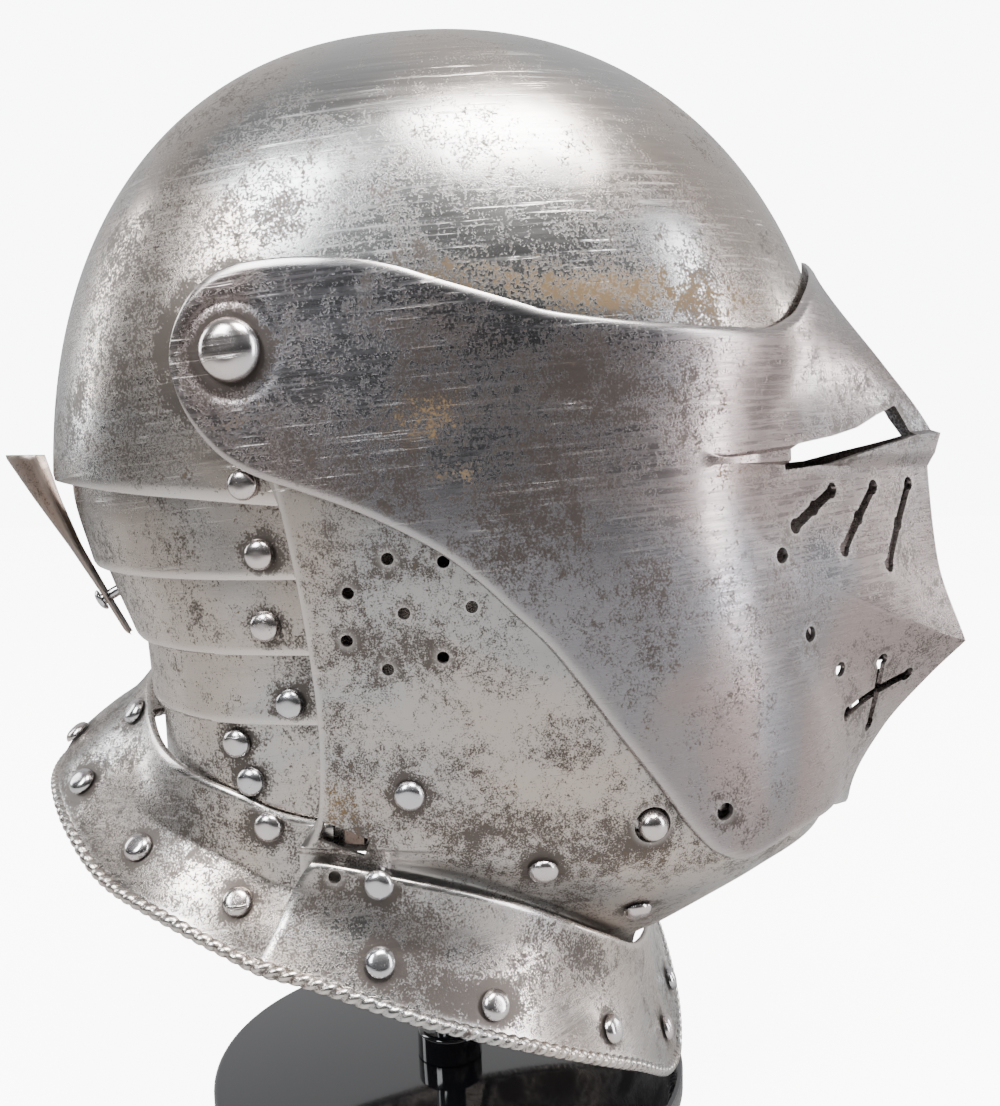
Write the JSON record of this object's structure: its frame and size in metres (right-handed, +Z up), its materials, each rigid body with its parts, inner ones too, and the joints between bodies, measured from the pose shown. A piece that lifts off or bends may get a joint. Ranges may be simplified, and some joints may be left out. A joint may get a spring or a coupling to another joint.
{
  "type": "close helmet on a display stand",
  "caption": "Close helmet of polished steel with a beaked visor, bevor, jointed nape plates and flared gorget plates, on a plain round stand.",
  "frame": {"origin": "on the ground under the helmet, on the stand base's underside", "axes": "+Z up, the helmet faces -Y, its right side is -X"},
  "size_m": [0.212, 0.2781, 0.326],
  "materials": {
    "polished_steel": "old polished steel with dark speckled patina",
    "rivet_steel": "worn bright steel",
    "old_iron": "dark brown iron",
    "black_gloss": "glossy black"
  },
  "bodies": {
    "bowl_and_stand": {"skull": "polished_steel", "stand_base": "black_gloss", "stand_post": "black_gloss", "temple_rivet_right": "rivet_steel", "temple_rivet_left": "rivet_steel", "nape_pivot_1_right": "rivet_steel", "nape_pivot_1_left": "rivet_steel"},
    "bevor": {"bevor": "polished_steel", "catch_rivet": "rivet_steel", "gorget_pivot_right": "rivet_steel", "gorget_pivot_left": "rivet_steel", "bevor_rivet_upper_right": "rivet_steel", "bevor_rivet_upper_left": "rivet_steel", "bevor_rivet_chin_right": "rivet_steel", "bevor_rivet_chin_left": "rivet_steel"},
    "visor": {"visor": "polished_steel"},
    "catch": {"catch_leaf": "polished_steel", "catch_button": "rivet_steel", "catch_stud": "rivet_steel"},
    "front_gorget": {"front_gorget": "polished_steel", "front_gorget_rivet_rim_1_right": "rivet_steel", "front_gorget_rivet_rim_1_left": "rivet_steel", "front_gorget_rivet_rim_2_right": "rivet_steel", "front_gorget_rivet_rim_2_left": "rivet_steel", "front_gorget_rivet_rim_3_right": "rivet_steel", "front_gorget_rivet_rim_3_left": "rivet_steel", "front_gorget_rivet_rim_4_right": "rivet_steel", "front_gorget_rivet_rim_4_left": "rivet_steel"},
    "upper_nape_plate": {"lame_1": "polished_steel", "nape_pivot_2_right": "rivet_steel", "nape_pivot_2_left": "rivet_steel"},
    "middle_nape_plate": {"lame_2": "polished_steel", "nape_pivot_3_right": "rivet_steel", "nape_pivot_3_left": "rivet_steel", "plume_holder": "old_iron", "plume_holder_rivet": "rivet_steel"},
    "lower_nape_plate": {"lame_3": "polished_steel", "nape_pivot_4_right": "rivet_steel", "nape_pivot_4_left": "rivet_steel"},
    "neck_and_rear_gorget": {"neck_plate": "polished_steel", "rear_gorget": "polished_steel", "lock_staple": "old_iron", "neck_rivet_upper_right": "rivet_steel", "neck_rivet_upper_left": "rivet_steel", "neck_rivet_lower_right": "rivet_steel", "neck_rivet_lower_left": "rivet_steel", "rear_gorget_rivet_corner_right": "rivet_steel", "rear_gorget_rivet_corner_left": "rivet_steel", "rear_gorget_rivet_top_right": "rivet_steel", "rear_gorget_rivet_top_left": "rivet_steel", "rear_gorget_rivet_rim_1_right": "rivet_steel", "rear_gorget_rivet_rim_1_left": "rivet_steel", "rear_gorget_rivet_rim_2_right": "rivet_steel", "rear_gorget_rivet_rim_2_left": "rivet_steel", "rear_gorget_rivet_rim_3_right": "rivet_steel", "rear_gorget_rivet_rim_3_left": "rivet_steel", "rear_gorget_rivet_rim_4_right": "rivet_steel", "rear_gorget_rivet_rim_4_left": "rivet_steel"}
  },
  "joints": [
    {"name": "bevor_hinge", "type": "hinge", "parent": "bowl_and_stand", "child": "bevor", "pos_m": [0, 0.031, 0.23022], "axis": [-1, 0, 0], "range_deg": [0, 65]},
    {"name": "visor_hinge", "type": "hinge", "parent": "bevor", "child": "visor", "pos_m": [0, 0.031, 0.23022], "axis": [-1, 0, 0], "range_deg": [0, 70]},
    {"name": "catch_spring", "type": "hinge", "parent": "bevor", "child": "catch", "pos_m": [-0.0768, -0.03603, 0.103], "axis": [-0.5586, 0.0583, 0.8274], "range_deg": [0, 2.5], "stiffness_Nm_per_rad": 8, "springref_deg": -1.15},
    {"name": "front_gorget_rivets", "type": "hinge", "parent": "bevor", "child": "front_gorget", "pos_m": [0, 0.0027, 0.1], "axis": [-1, 0, 0], "range_deg": [0, 1.5]},
    {"name": "nape_rivets_1", "type": "hinge", "parent": "bowl_and_stand", "child": "upper_nape_plate", "pos_m": [0, 0.031, 0.199], "axis": [1, 0, 0], "range_deg": [0, 2]},
    {"name": "nape_rivets_2", "type": "hinge", "parent": "upper_nape_plate", "child": "middle_nape_plate", "pos_m": [0, 0.029, 0.182], "axis": [1, 0, 0], "range_deg": [0, 2]},
    {"name": "nape_rivets_3", "type": "hinge", "parent": "middle_nape_plate", "child": "lower_nape_plate", "pos_m": [0, 0.0295, 0.164], "axis": [1, 0, 0], "range_deg": [0, 2]},
    {"name": "nape_rivets_4", "type": "hinge", "parent": "lower_nape_plate", "child": "neck_and_rear_gorget", "pos_m": [0, 0.025, 0.144], "axis": [1, 0, 0], "range_deg": [0, 3]}
  ]
}
